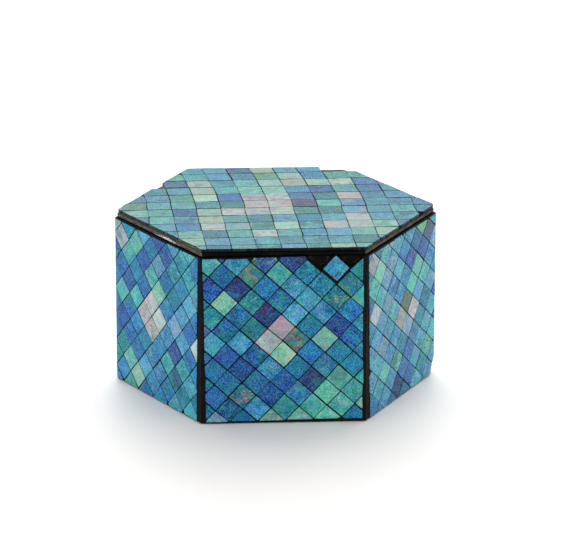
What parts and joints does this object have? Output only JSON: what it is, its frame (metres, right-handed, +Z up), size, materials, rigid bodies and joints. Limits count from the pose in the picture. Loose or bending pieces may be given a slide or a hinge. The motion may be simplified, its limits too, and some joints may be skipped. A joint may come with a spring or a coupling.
{
  "type": "mosaic box",
  "caption": "Low hexagonal keepsake box of black board, covered in hand-cut opal-blue glass tiles, hollow, with a flat lid that lifts off.",
  "frame": {"origin": "middle of the underside of the base board, on the surface that the box stands on", "axes": "+Z up, -Y out of the front side, +X towards the corner on the right of the front side"},
  "size_m": [0.151, 0.1316, 0.084],
  "materials": {
    "black_paint": "satin black paint over fibre board",
    "opal_glass": "glossy mottled opal-blue glass tiles in black grout"
  },
  "bodies": {
    "root": {"base_board": "black_paint", "front_wall": "black_paint", "front_right_wall": "black_paint", "back_right_wall": "black_paint", "back_wall": "black_paint", "back_left_wall": "black_paint", "front_left_wall": "black_paint", "front_mosaic": "opal_glass", "front_right_mosaic": "opal_glass", "back_right_mosaic": "opal_glass", "back_mosaic": "opal_glass", "back_left_mosaic": "opal_glass", "front_left_mosaic": "opal_glass", "lid_board": "black_paint", "lid_locating_board": "black_paint", "lid_mosaic": "opal_glass"}
  },
  "joints": []
}
